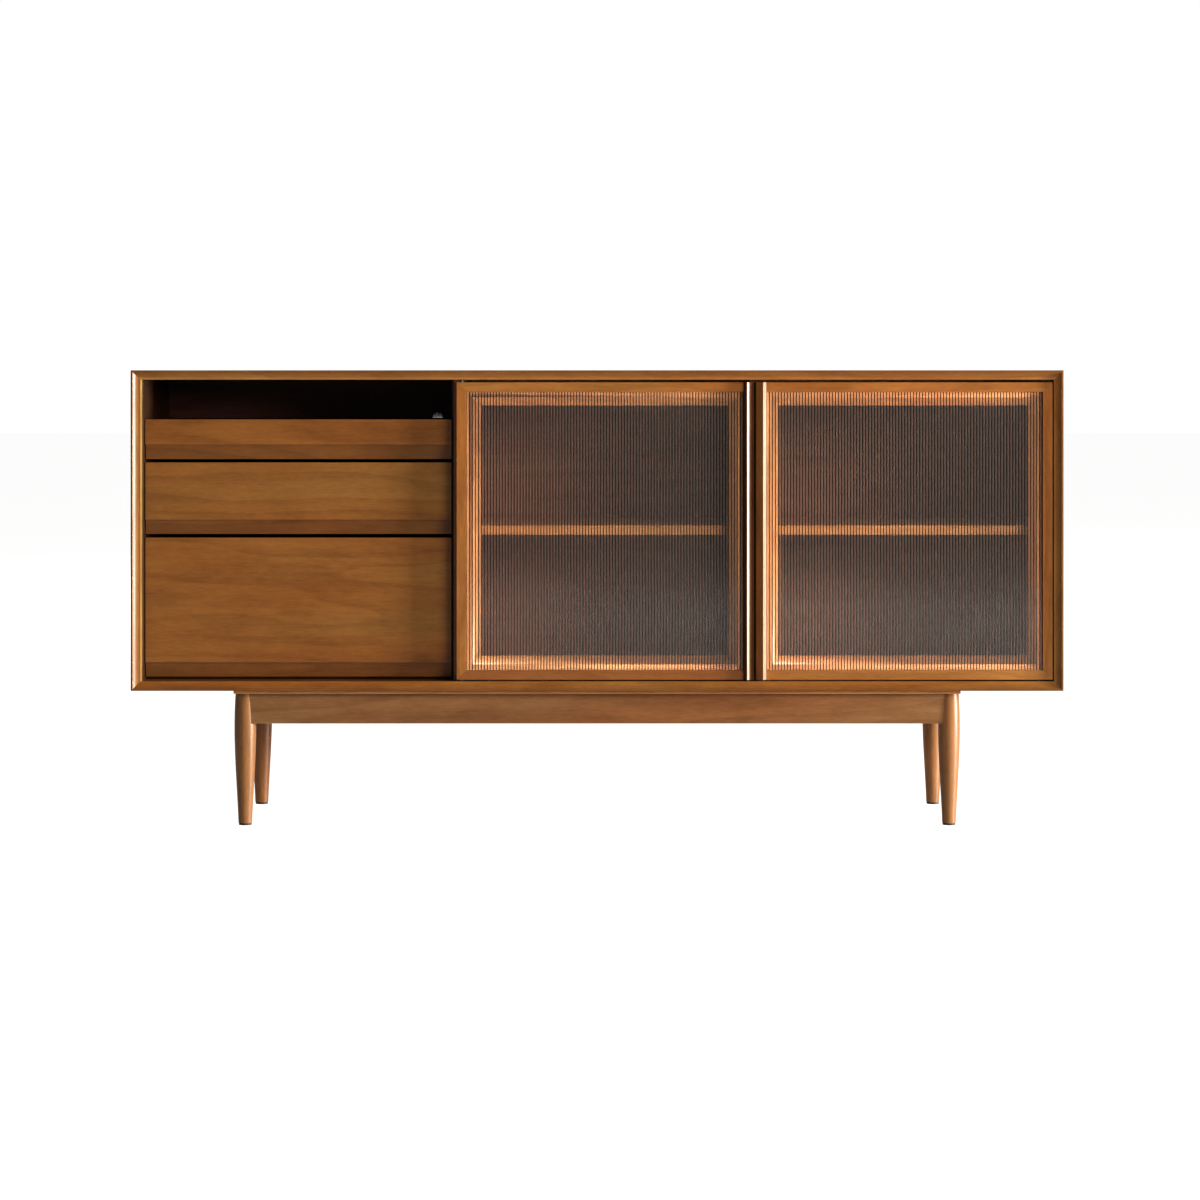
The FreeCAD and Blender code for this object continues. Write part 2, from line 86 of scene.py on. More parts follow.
# name, place, target, size, power in watts, colour
LIGHTS = (
    ("key", (8.12, -1.93, 0.80), (0.0, 0.0, 0.5), (1.4, 1.4), 1700.0, (1.0, 0.93, 0.84)),
    ("fill", (4.70, -4.90, 1.80), (0.0, 0.0, 0.5), (2.6, 1.6), 290.0, (1.0, 0.96, 0.92)),
    ("rear", (-5.2, 5.4, 2.4), (0.0, 0.0, 0.5), (6.0, 3.6), 430.0, (1.0, 0.96, 0.92)),
)


def make_camera():
    data = bpy.data.cameras.new("camera")
    data.lens = CAMERA_LENS
    data.sensor_width = CAMERA_SENSOR
    data.shift_y = CAMERA_SHIFT
    data.clip_end = CAMERA_REACH
    camera = bpy.data.objects.new("camera", data)
    camera.location = (CAMERA_X, cad_low.y - CAMERA_DISTANCE, CAMERA_HEIGHT)
    camera.rotation_euler = (math.radians(90), 0, 0)
    bpy.context.scene.collection.objects.link(camera)
    bpy.context.scene.camera = camera


def make_light(name, place, target, size, power, colour):
    """A soft rectangular light at a place, turned to a target."""
    data = bpy.data.lights.new(name, "AREA")
    data.shape = "RECTANGLE"
    data.size, data.size_y = size
    data.energy = power
    data.color = colour
    light = bpy.data.objects.new(name, data)
    light.visible_camera = False
    light.location = place
    light.rotation_euler = (Vector(target) - Vector(place)).to_track_quat("-Z", "Y").to_euler()
    bpy.context.scene.collection.objects.link(light)
    return light


def keep_off(light, node):
    """Lets a light pass over one board, which it would otherwise overexpose."""
    spared = bpy.data.collections.new("kept_off_" + light.name)
    spared.objects.link(frame["nodes"][node])
    light.light_linking.receiver_collection = spared
    spared.collection_objects[0].light_linking.link_state = "EXCLUDE"


def make_world():
    """A white studio: rays from the camera see white, and everything else gets a soft ambient light."""
    world = bpy.data.worlds.new("studio")
    world.use_nodes = True
    bpy.context.scene.world = world
    nodes, links = world.node_tree.nodes, world.node_tree.links
    nodes.clear()
    path = nodes.new("ShaderNodeLightPath")
    ambient = nodes.new("ShaderNodeBackground")
    ambient.inputs["Color"].default_value = (*AMBIENT, 1)
    ambient.inputs["Strength"].default_value = AMBIENT_STRENGTH
    white = nodes.new("ShaderNodeBackground")
    white.inputs["Color"].default_value = (1, 1, 1, 1)
    white.inputs["Strength"].default_value = BACKDROP_WHITE
    mix = nodes.new("ShaderNodeMixShader")
    out = nodes.new("ShaderNodeOutputWorld")
    links.new(path.outputs["Is Camera Ray"], mix.inputs[0])
    links.new(ambient.outputs[0], mix.inputs[1])
    links.new(white.outputs[0], mix.inputs[2])
    links.new(mix.outputs[0], out.inputs[0])


def make_floor():
    mesh = bpy.data.meshes.new("floor")
    h = FLOOR_HALF
    mesh.from_pydata([(-h, -h, 0), (h, -h, 0), (h, h, 0), (-h, h, 0)], [], [(0, 1, 2, 3)])
    floor = bpy.data.objects.new("floor", mesh)
    bpy.context.scene.collection.objects.link(floor)
    mesh.materials.append(pale_floor_material())


def pale_floor_material():
    """A pale floor that looks almost white, and throws only a little light on the furniture."""
    material = bpy.data.materials.new("floor_pale")
    material.use_nodes = True
    nodes, links = material.node_tree.nodes, material.node_tree.links
    shader = nodes["Principled BSDF"]
    shader.inputs["Base Color"].default_value = (*FLOOR_COLOUR, 1)
    shader.inputs["Roughness"].default_value = FLOOR_ROUGHNESS
    shader.inputs["Specular IOR Level"].default_value = FLOOR_SPECULAR
    shader.inputs["Emission Color"].default_value = (1, 1, 1, 1)
    path = nodes.new("ShaderNodeLightPath")
    glow = nodes.new("ShaderNodeMapRange")
    glow.inputs["To Min"].default_value = FLOOR_GLOW
    glow.inputs["To Max"].default_value = FLOOR_SEEN
    links.new(path.outputs["Is Camera Ray"], glow.inputs["Value"])
    links.new(glow.outputs["Result"], shader.inputs["Emission Strength"])
    return material


def make_studio():
    """World, floor and lights; only the key light shows in reflections."""
    bpy.context.scene.view_settings.view_transform = "Standard"
    make_world()
    make_floor()
    for light in LIGHTS:
        made = make_light(*light)
        if made.name == "key":
            keep_off(made, "right_side")
        else:
            made.visible_glossy = False


# ---------------------------------------------------------------- materials

# Cosine of the angle between a face and its rounded normal, where wear begins and where it is full.
EDGE_START = 0.995
EDGE_FULL = 0.80
EDGE_SAMPLES = 4


class Graph:
    """A small helper that adds shader nodes and joins them."""

    def __init__(self, name):
        self.material = bpy.data.materials.new(name)
        self.material.use_nodes = True
        self.tree = self.material.node_tree
        self.shader = self.tree.nodes["Principled BSDF"]

    def node(self, kind, **settings):
        made = self.tree.nodes.new("ShaderNode" + kind)
        for key, value in settings.items():
            setattr(made, key, value)
        return made

    def join(self, source, target):
        self.tree.links.new(source, target)

    def feed(self, target, value):
        if isinstance(value, bpy.types.NodeSocket):
            self.join(value, target)
        else:
            target.default_value = value

    def place(self):
        """The object coordinates, in metres."""
        return self.node("TexCoord").outputs["Object"]

    def axes(self):
        """The x, y and z of the object coordinates, in metres."""
        split = self.node("SeparateXYZ")
        self.join(self.place(), split.inputs[0])
        return list(split.outputs)

    def math(self, operation, a, b=0.0, clamp=False):
        made = self.node("Math", operation=operation, use_clamp=clamp)
        self.feed(made.inputs[0], a)
        self.feed(made.inputs[1], b)
        return made.outputs[0]

    def vector(self, x, y, z):
        made = self.node("CombineXYZ")
        for socket, value in zip(made.inputs, (x, y, z)):
            self.feed(socket, value)
        return made.outputs[0]

    def noise(self, vector, scale=1.0, detail=2.0, roughness=0.5):
        made = self.node("TexNoise")
        self.join(vector, made.inputs["Vector"])
        made.inputs["Scale"].default_value = scale
        made.inputs["Detail"].default_value = detail
        made.inputs["Roughness"].default_value = roughness
        return made.outputs["Fac"]

    def remap(self, value, low, high, to_low=0.0, to_high=1.0):
        made = self.node("MapRange")
        made.interpolation_type = "SMOOTHSTEP"
        self.feed(made.inputs["Value"], value)
        made.inputs["From Min"].default_value = low
        made.inputs["From Max"].default_value = high
        made.inputs["To Min"].default_value = to_low
        made.inputs["To Max"].default_value = to_high
        return made.outputs["Result"]

    def mix(self, factor, a, b, blend="MIX"):
        made = self.node("Mix", data_type="RGBA", blend_type=blend)
        self.feed(made.inputs[0], factor)
        self.feed(made.inputs[6], a)
        self.feed(made.inputs[7], b)
        return made.outputs[2]

    def blend(self, factor, a, b):
        """A number between two others."""
        made = self.node("Mix", data_type="FLOAT")
        self.feed(made.inputs[0], factor)
        self.feed(made.inputs[2], a)
        self.feed(made.inputs[3], b)
        return made.outputs[0]

    def inside(self, value, middle, half):
        """How far a value lies inside the span that reaches half each side of the middle."""
        off = self.math("ABSOLUTE", self.math("SUBTRACT", value, middle))
        return self.math("SUBTRACT", half, off)

    def edges(self, radius):
        """About 1 on sharp outer and inner edges, and 0 on flat faces."""
        bevel = self.node("Bevel", samples=EDGE_SAMPLES)
        bevel.inputs["Radius"].default_value = radius
        geometry = self.node("NewGeometry")
        dot = self.node("VectorMath", operation="DOT_PRODUCT")
        self.join(bevel.outputs[0], dot.inputs[0])
        self.join(geometry.outputs["Normal"], dot.inputs[1])
        return self.remap(dot.outputs["Value"], EDGE_START, EDGE_FULL)

    def bump(self, height, strength, distance):
        made = self.node("Bump")
        made.inputs["Strength"].default_value = strength
        made.inputs["Distance"].default_value = distance
        self.join(height, made.inputs["Height"])
        self.join(made.outputs[0], self.shader.inputs["Normal"])


# Grain axes: which object coordinates run along the grain, across it, and through the board.
GRAIN = {"X": (0, 2, 1), "Y": (1, 0, 2), "Z": (2, 0, 1), "XY": (0, 1, 2)}

# How far a seed of 1 moves the pattern along those three, in metres.
SEED_STEPS = (3.17, 1.31, 0.53)

# Marks per metre along the grain and across it, noise detail and noise roughness.
PATTERNS = {
    "bend": (1.7, 5.0, 3.0, 0.5),
    "drift": (1.4, 7.0, 2.0, 0.5),
    "cloud": (4.5, 26.0, 3.0, 0.6),
    "mottle": (16.0, 45.0, 2.0, 0.5),
    "fleck": (62.0, 330.0, 2.0, 0.6),
    "streak": (5.0, 150.0, 3.0, 0.6),
    "fibre": (22.0, 900.0, 2.0, 0.6),
    "arch": (1.1, 8.5, 1.5, 0.5),
}
# The bends of the grain in metres, and the patterns that don't follow them.
BEND_SWAY = 0.05
STRAIGHT = ("mottle", "fleck")

# The tone's middle, and how much each pattern changes it.
TONE_MIDDLE = 0.52
TONE_SHARES = {
    "cloud": 0.50, "drift": 0.40, "mottle": 0.40, "fleck": 0.50, "streak": 0.34, "fibre": 0.30,
}
FIBRE_HEIGHT = 0.7
STREAK_HEIGHT = 0.3

# Growth rings: lines across the noise's range, how each line rises and falls, and how dark it is.
RING_COUNT = 11.0
RING_RISE = (0.35, 0.9)
RING_FALL = (1.0, 0.92)
RING_DEPTH = 0.16

# Middle tone of each wood, and how far the dark and light tones lie from it.
WOODS = {
    "case": (0.250, 0.095, 0.019),
    "drawer": (0.236, 0.090, 0.018),
    "door": (0.320, 0.117, 0.024),
    "base": (0.215, 0.092, 0.032),
    "inner": (0.420, 0.255, 0.120),
    "leg": (0.270, 0.120, 0.042),
    "dark": (0.130, 0.052, 0.022),
    "back": (0.250, 0.110, 0.066),
    "moulding": (0.460, 0.215, 0.080),
    "shelf": (0.380, 0.180, 0.060),
    "liner": (0.620, 0.400, 0.140),
    "divider": (0.260, 0.090, 0.033),
    # Paler wood for the base plate, whose front edge sits in the body's shade: painted light.
    "painted_lit_plinth": (0.420, 0.165, 0.045),
    # Darker copy of the door wood: painted shade.
    "shaded": (0.235, 0.083, 0.020),
    # Near-black wood for the niche shelf: painted shade.
    "niche_painted_shade": (0.042, 0.019, 0.014),
}
DARKER = (0.66, 0.60, 0.52)
LIGHTER = (1.36, 1.46, 1.62)
DARK_PLACE = 0.12
LIGHT_PLACE = 0.88

# A slow change of cast along the board.
REDDER = (1.06, 0.94, 0.82, 1)
YELLOWER = (0.97, 1.06, 1.08, 1)
CAST_RANGE = (0.3, 0.7)

# Paler edges, partly rubbed wear and partly a painted highlight where edges catch the light: how much
# paler than the middle tone, how wide in metres, and how strong.
WEAR_AND_SHEEN = (1.7, 2.0, 2.3)
WEAR_AND_SHEEN_WIDTH = 1.2 * MM
WEAR_AND_SHEEN_AMOUNT = 0.35

# Lacquer: roughness in the pores and on the fibres between two fibre heights, and the bump.
PORE_ROUGHNESS = 0.43
FIBRE_ROUGHNESS = 0.31
HEIGHT_RANGE = (0.2, 0.8)
WOOD_SPECULAR = 0.42
WOOD_BUMP = 0.2
WOOD_BUMP_DISTANCE = 0.3 * MM
SECOND_SEED_STEP = 0.37


def wood_pattern(graph, grain, seed):
    """Returns a tone from 0 (dark) to 1 (light), a slow drift and a fibre height, along the grain."""
    place = graph.axes()
    moved = [graph.math("ADD", place[i], seed * step) for i, step in zip(GRAIN[grain], SEED_STEPS)]
    along, across, through = moved

    def pattern(name, v):
        """Noise stretched along the grain, where v is the place across it."""
        run, width, detail, roughness = PATTERNS[name]
        stretched = graph.vector(graph.math("MULTIPLY", along, run), graph.math("MULTIPLY", v, width),
                                 graph.math("MULTIPLY", through, width))
        return graph.noise(stretched, 1.0, detail, roughness)

    def part(value, amount):
        """Turns 0 to 1 into a change of up to half the amount, down or up."""
        return graph.math("MULTIPLY", graph.math("SUBTRACT", value, 0.5), amount)

    bent = graph.math("ADD", across, part(pattern("bend", across), BEND_SWAY))
    found = {name: pattern(name, across if name in STRAIGHT else bent) for name in TONE_SHARES}
    arch = graph.math("FRACT", graph.math("MULTIPLY", pattern("arch", bent), RING_COUNT))
    ring = graph.math("MULTIPLY", graph.remap(arch, *RING_RISE), graph.remap(arch, *RING_FALL))

    tone = TONE_MIDDLE
    for name, amount in TONE_SHARES.items():
        tone = graph.math("ADD", tone, part(found[name], amount))
    tone = graph.math("SUBTRACT", tone, graph.math("MULTIPLY", ring, RING_DEPTH), clamp=True)
    height = graph.math("ADD", graph.math("MULTIPLY", found["fibre"], FIBRE_HEIGHT),
                        graph.math("MULTIPLY", found["streak"], STREAK_HEIGHT))
    return tone, found["drift"], height


def wood_colour(graph, kind, tone, drift):
    """Turns the tone into a colour, with a cast that changes slowly along the board."""
    middle = WOODS[kind]
    ramp = graph.node("ValToRGB")
    elements = ramp.color_ramp.elements
    elements[0].position = DARK_PLACE
    elements[0].color = (*[m * k for m, k in zip(middle, DARKER)], 1)
    elements[1].position = LIGHT_PLACE
    elements[1].color = (*[m * k for m, k in zip(middle, LIGHTER)], 1)
    elements.new(0.5).color = (*middle, 1)
    graph.join(tone, ramp.inputs[0])
    cast = graph.mix(graph.remap(drift, *CAST_RANGE), REDDER, YELLOWER)
    return graph.mix(1.0, ramp.outputs[0], cast, "MULTIPLY")


def wood(name, kind, grain, seed, second_grain=None, share=None, painted_marks=()):
    """Satin lacquered wood with streaks, faint growth rings, fibres and pale edges: wear and painted
    highlight.

    A painted mark, which paints shade or a highlight, is (axis, place where it begins, place where it is
    full, colour to multiply with, roughness).
    A stain is (axis, place where it begins, place where it is full, colour to multiply with, roughness).
    """
    graph = Graph(name)
    tone, drift, height = wood_pattern(graph, grain, seed)
    if second_grain:
        others = wood_pattern(graph, second_grain, seed + SECOND_SEED_STEP)
        factor = share(graph)
        pairs = zip((tone, drift, height), others)
        tone, drift, height = [graph.blend(factor, a, b) for a, b in pairs]
    wear_and_sheen_colour = (*[m * k for m, k in zip(WOODS[kind], WEAR_AND_SHEEN)], 1)
    wear_and_sheen_mask = graph.math("MULTIPLY", graph.edges(WEAR_AND_SHEEN_WIDTH), WEAR_AND_SHEEN_AMOUNT)
    colour = graph.mix(wear_and_sheen_mask, wood_colour(graph, kind, tone, drift), wear_and_sheen_colour)
    rough = graph.remap(height, *HEIGHT_RANGE, PORE_ROUGHNESS, FIBRE_ROUGHNESS)
    place = graph.axes()
    # Painted shade and painted highlights, each growing along one axis.
    for axis, start, full, multiplier, painted_rough in painted_marks:
        factor = graph.remap(place[axis], start, full)
        colour = graph.mix(factor, colour, graph.mix(1.0, colour, multiplier, "MULTIPLY"))
        rough = graph.blend(factor, rough, painted_rough)
    graph.join(colour, graph.shader.inputs["Base Color"])
    graph.join(rough, graph.shader.inputs["Roughness"])
    graph.shader.inputs["Specular IOR Level"].default_value = WOOD_SPECULAR
    graph.bump(height, WOOD_BUMP, WOOD_BUMP_DISTANCE)
    return graph.material


def mitre_share(low, high):
    """A function that gives 1 on the upright strips of a mitred frame and 0 on the level ones."""
    middle_x, middle_z = (low.x + high.x) / 2, (low.z + high.z) / 2
    half_x, half_z = (high.x - low.x) / 2, (high.z - low.z) / 2

    def share(graph):
        x, _, z = graph.axes()
        from_side = graph.inside(x, middle_x, half_x)
        from_top = graph.inside(z, middle_z, half_z)
        return graph.math("LESS_THAN", from_side, from_top)

    return share


# Metals: scratches per metre across and along the brushing, how far they take the roughness below and
# above the metal's own, and dull patches per metre.
SCRATCHES_ACROSS = 2600.0
SCRATCHES_ALONG = 40.0
SCRATCH_RANGE = (0.3, 0.7)
SCRATCH_SMOOTH = 0.07
SCRATCH_ROUGH = 0.10
METAL_BUMP = 0.15
TARNISH_SCALE = 60.0
TARNISH_RANGE = (0.45, 0.75)
TARNISH_DULL = 0.62

# Plastics: grains per metre, how much paler the grain's tips are, and the roughness.
PLASTIC_GRAINS = 1400.0
PLASTIC_PALER = 1.9
PALE_RANGE = (0.4, 0.8)
GRAIN_RANGE = (0.3, 0.7)
PLASTIC_ROUGHNESS = (0.55, 0.72)
PLASTIC_BUMP = 0.2

FINE_BUMP_DISTANCE = 0.1 * MM


def metal(name, colour, roughness, brushed_along):
    """Brushed or plated metal with fine scratches and a little tarnish."""
    graph = Graph(name)
    scales = [SCRATCHES_ACROSS] * 3
    scales[brushed_along] = SCRATCHES_ALONG
    stretched = [graph.math("MULTIPLY", axis, scale) for axis, scale in zip(graph.axes(), scales)]
    scratch = graph.noise(graph.vector(*stretched), 1.0, 2.0)
    tarnish = graph.noise(graph.place(), TARNISH_SCALE, 3.0)
    dull = [c * TARNISH_DULL for c in colour]
    tint = graph.mix(graph.remap(tarnish, *TARNISH_RANGE), (*colour, 1), (*dull, 1))
    rough = graph.remap(scratch, *SCRATCH_RANGE, roughness - SCRATCH_SMOOTH, roughness + SCRATCH_ROUGH)
    graph.join(tint, graph.shader.inputs["Base Color"])
    graph.join(rough, graph.shader.inputs["Roughness"])
    graph.shader.inputs["Metallic"].default_value = 1.0
    graph.bump(scratch, METAL_BUMP, FINE_BUMP_DISTANCE)
    return graph.material


def plastic(name, colour):
    """Matt moulded plastic with a fine grain."""
    graph = Graph(name)
    grain = graph.noise(graph.place(), PLASTIC_GRAINS, 2.0)
    pale = [c * PLASTIC_PALER for c in colour]
    tint = graph.mix(graph.remap(grain, *PALE_RANGE), (*colour, 1), (*pale, 1))
    graph.join(tint, graph.shader.inputs["Base Color"])
    graph.join(graph.remap(grain, *GRAIN_RANGE, *PLASTIC_ROUGHNESS), graph.shader.inputs["Roughness"])
    graph.bump(grain, PLASTIC_BUMP, FINE_BUMP_DISTANCE)
    return graph.material


GLASS_TINT = (1.0, 0.86, 0.77, 1)
# Colour of the grooves between the reeds: painted shade.
REED_GROOVE_SHADE = (0.05, 0.042, 0.038, 1)
# Distance from a reed's crest, as a share of the pitch, where the painted shade in the groove begins and
# is full.
REED_GROOVE_SHADE_RANGE = (0.19, 0.40)
GLASS_SHADOW = (0.97, 0.95, 0.93, 1)
GLASS_TRANSMISSION = 0.975
GLASS_IOR = 1.5
GLASS_SPECULAR = 0.12
# Faint smears: how many per metre, the part of the noise that counts, and the roughness.
SMEAR_SCALE = 9.0
SMEAR_RANGE = (0.3, 0.8)
GLASS_ROUGHNESS = (0.06, 0.09)


def reeded_glass_material(name, left, pitch):
    """Glass with a faint warm tint and painted shade in the grooves, that lets lamps light what is behind
    it.
    """
    graph = Graph(name)
    shader = graph.shader
    x = graph.axes()[0]
    reed = graph.math("FRACT", graph.math("DIVIDE", graph.math("SUBTRACT", x, left), pitch))
    from_crest = graph.math("ABSOLUTE", graph.math("SUBTRACT", reed, 0.5))
    groove_shade = graph.remap(from_crest, *REED_GROOVE_SHADE_RANGE)
    smear = graph.noise(graph.place(), SMEAR_SCALE, 3.0)
    # The grooves take the darker colour: painted shade.
    graph.join(graph.mix(groove_shade, GLASS_TINT, REED_GROOVE_SHADE), shader.inputs["Base Color"])
    graph.join(graph.remap(smear, *SMEAR_RANGE, *GLASS_ROUGHNESS), shader.inputs["Roughness"])
    shader.inputs["Transmission Weight"].default_value = GLASS_TRANSMISSION
    shader.inputs["IOR"].default_value = GLASS_IOR
    shader.inputs["Specular IOR Level"].default_value = GLASS_SPECULAR
    clear = graph.node("BsdfTransparent")
    clear.inputs["Color"].default_value = GLASS_SHADOW
    path = graph.node("LightPath")
    mix = graph.node("MixShader")
    graph.join(path.outputs["Is Shadow Ray"], mix.inputs[0])
    graph.join(shader.outputs[0], mix.inputs[1])
    graph.join(clear.outputs[0], mix.inputs[2])
    graph.join(mix.outputs[0], graph.tree.nodes["Material Output"].inputs["Surface"])
    return graph.material


# ---------------------------------------------------------------- finishes of the CAD nodes

# Node, kind of wood, grain axes and width of the eased edge in mm.
BOARDS = (
    ("top_panel", "case", "XY", 0.5), ("bottom_panel", "case", "XY", 0.5),
    ("left_side", "case", "Z", 0.5), ("right_side", "case", "Z", 0.5),
    ("divider", "divider", "Z", 0.4), ("centre_partition", "dark", "Z", 0.4),
    # The niche shelf's near-black wood is painted shade.
    ("niche_shelf", "niche_painted_shade", "XY", 0.4),
    ("shelf_left", "shelf", "XY", 0.6), ("shelf_right", "shelf", "XY", 0.6),
    ("back_panel_left", "back", "X", 0.2), ("back_panel_right", "back", "X", 0.2),
    # The base plate's paler wood is painted light.
    ("base_plate", "painted_lit_plinth", "XY", 0.5),
    ("front_rail", "base", "X", 0.8), ("rear_rail", "base", "X", 0.8),
    ("left_rail", "base", "Y", 0.8), ("right_rail", "base", "Y", 0.8),
    ("leg_front_left", "leg", "Z", 0.6), ("leg_front_right", "leg", "Z", 0.6),
    ("leg_rear_left", "leg", "Z", 0.6), ("leg_rear_right", "leg", "Z", 0.6),
)
DRAWER_BOARDS = (
    ("_front", "drawer", "X", 0.7),
    ("_left_side", "inner", "Y", 0.6), ("_right_side", "inner", "Y", 0.6),
    ("_back", "inner", "X", 0.6), ("_bottom", "inner", "XY", 0.2),
)
DOOR_BOARDS = (
    ("_hinge_stile", "door", "Z", 0.5), ("_meeting_stile", "door", "Z", 0.7),
    ("_top_rail", "door", "X", 0.5), ("_bottom_rail", "door", "X", 0.5),
)
# The left door's bottom rail takes the darker copy of the door wood: painted shade.
OTHER_KINDS = {"door_left_bottom_rail": "shaded"}
DRAWERS = ("drawer_small", "drawer_medium", "drawer_large")
DOORS = ("door_left", "door_right")

# Each board's figure starts from its own seed.
BOARD_SEED = 1.0
BOARD_SEED_STEP = 0.73
MOULDING_SEED = 40.0
LINER_SEED = 50.0

# Widths of the eased edges in mm, and how edges are found and rounded.
MOULDING_EASE = 0.2
HARDWARE_EASE = 0.25
EASE_SEGMENTS = 2
EASE_ANGLE = math.radians(28)
WELD_DISTANCE = 0.01 * MM

# Painted shade by the depth behind a front face in metres: start, full, colour and roughness.
# Darker grip recess below each drawer front's lip: painted shade.
GRIP_PAINTED_SHADE = (0.0015, 0.0035, (0.66, 0.62, 0.52, 1), 0.4)
# Bay liners darker deeper behind their front edges: painted shade.
LINER_PAINTED_SHADE = (0.001, 0.012, (0.43, 0.34, 0.30, 1), 0.4)
# Flanks of the left door's ridge behind the crest, darkened and dulled: painted shade standing in for the
# right ridge's shadow.
RIDGE_FLANK_PAINTED_SHADE = (0.0021, 0.0036, (0.20, 0.15, 0.10, 1), 0.9)
DEPTH_PAINTED_SHADES = {
    "bay_liners": LINER_PAINTED_SHADE,
    "drawer_small_front": GRIP_PAINTED_SHADE,
    "drawer_medium_front": GRIP_PAINTED_SHADE,
    "drawer_large_front": GRIP_PAINTED_SHADE,
    "door_left_meeting_stile": RIDGE_FLANK_PAINTED_SHADE,
}
# The inside of the left back panel, at the back of the niche, is darkened with painted shade; its outside
# isn't.
INSIDE_PAINTED_SHADE = (0.40, 0.36, 0.45, 1)
INSIDE_ROUGHNESS = 0.5
INSIDE_BLUR = 0.5 * MM
LINER_THICKNESS = 4.0 * MM
# The liners grow dark with painted shade between these distances short of the left one's inner face,
# and stay dark from there to the right.
LINER_SEAM_PAINTED_SHADE = (1.2 * MM, 0.7 * MM, (0.10, 0.07, 0.05, 1), 0.4)
# The top board grows paler between these heights over its underside, which shows at the lower end of
# its front cove: a painted band of light.
COVE_PAINTED_LIGHT = (5.0 * MM, 2.5 * MM, (1.28, 1.38, 1.55, 1), 0.36)
# The outer flank of the right door's ridge is painted pale as a highlight; it is this wide.
FLANK_PAINTED_HIGHLIGHT = (5.7 * MM, (0.94, 1.70, 5.2, 1), 0.4)
FLANK_BLUR = 0.2 * MM


def painted_marks_of(node):
    """A board's painted shade and painted highlights, as wood() takes them."""
    low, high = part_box(node)
    found = []
    if node in DEPTH_PAINTED_SHADES:
        start, full, colour, rough = DEPTH_PAINTED_SHADES[node]
        found.append((1, low.y + start, low.y + full, colour, rough))
    if node == "bay_liners":
        start, full, colour, rough = LINER_SEAM_PAINTED_SHADE
        inner = low.x + LINER_THICKNESS
        found.append((0, inner - start, inner - full, colour, rough))
    if node == "door_right_meeting_stile":
        width, colour, rough = FLANK_PAINTED_HIGHLIGHT
        crest = high.x - width
        found.append((0, crest - FLANK_BLUR, crest + FLANK_BLUR, colour, rough))
    if node == "back_panel_left":
        middle = (low.y + high.y) / 2
        found.append((1, middle + INSIDE_BLUR, middle - INSIDE_BLUR, INSIDE_PAINTED_SHADE, INSIDE_ROUGHNESS))
    if node == "top_panel":
        start, full, colour, rough = COVE_PAINTED_LIGHT
        found.append((2, low.z + start, low.z + full, colour, rough))
    return found


def assign(node, material):
    mesh = frame["nodes"][node].data
    mesh.materials.clear()
    mesh.materials.append(material)


def ease_edges(node, width):
    """Joins the tessellation's seams, rounds the sharp edges slightly and shades the flats flat."""
    thing = frame["nodes"][node]
    for polygon in thing.data.polygons:
        polygon.use_smooth = True
    weld = thing.modifiers.new("weld", "WELD")
    weld.merge_threshold = WELD_DISTANCE
    bevel = thing.modifiers.new("eased_edges", "BEVEL")
    bevel.width = width * MM
    bevel.segments = EASE_SEGMENTS
    bevel.limit_method = "ANGLE"
    bevel.angle_limit = EASE_ANGLE
    bevel.use_clamp_overlap = True
    normals = thing.modifiers.new("flat_faces", "WEIGHTED_NORMAL")
    normals.keep_sharp = True


def finish_boards():
    """Gives every wooden node its own material and eased edges; the thin liners stay sharp."""
    boards = list(BOARDS)
    boards += [(drawer + part, *rest) for drawer in DRAWERS for part, *rest in DRAWER_BOARDS]
    boards += [(door + part, *rest) for door in DOORS for part, *rest in DOOR_BOARDS]
    for index, (node, kind, grain, width) in enumerate(boards):
        kind = OTHER_KINDS.get(node, kind)
        seed = BOARD_SEED + index * BOARD_SEED_STEP
        assign(node, wood("wood_" + node, kind, grain, seed, painted_marks=painted_marks_of(node)))
        ease_edges(node, width)
    for index, door in enumerate(DOORS):
        node = door + "_moulding"
        share = mitre_share(*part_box(node))
        assign(node, wood("wood_" + node, "moulding", "X", MOULDING_SEED + index, "Z", share))
        ease_edges(node, MOULDING_EASE)
    liner_painted_marks = painted_marks_of("bay_liners")
    assign("bay_liners", wood("wood_bay_liners", "liner", "Z", LINER_SEED, painted_marks=liner_painted_marks))


ZINC = (0.62, 0.62, 0.60)
ZINC_ROUGHNESS = 0.32
BRONZE = (0.055, 0.050, 0.045)
BRONZE_ROUGHNESS = 0.42
GLIDE_BLACK = (0.012, 0.012, 0.012)


def finish_hardware():
    steel = metal("zinc_steel", ZINC, ZINC_ROUGHNESS, 1)
    dark_steel = metal("hinge_steel", BRONZE, BRONZE_ROUGHNESS, 0)
    for node in ("wood_screws", "leg_bolts", "shelf_pins", "door_magnets", "cabinet_runners"):
        assign(node, steel)
    for drawer in DRAWERS:
        assign(drawer + "_runners", steel)
    for node in ("pivot_plates", "door_left_fittings", "door_right_fittings"):
        assign(node, dark_steel)
    assign("leg_glides", plastic("glide_black", GLIDE_BLACK))
    for node in ("cabinet_runners", "pivot_plates", "leg_glides"):
        ease_edges(node, HARDWARE_EASE)


# ---------------------------------------------------------------- reeded glass

REED_PITCH = 5.14 * MM
REED_RADIUS = 5.15 * MM
REED_STEPS = 8
REED_SHARP_ANGLE = math.radians(35)
GLASS_BACK_CLEAR = 0.2 * MM
GLASS_EDGE_CLEAR = 0.3 * MM
REED_SET_BACK = 1.0 * MM


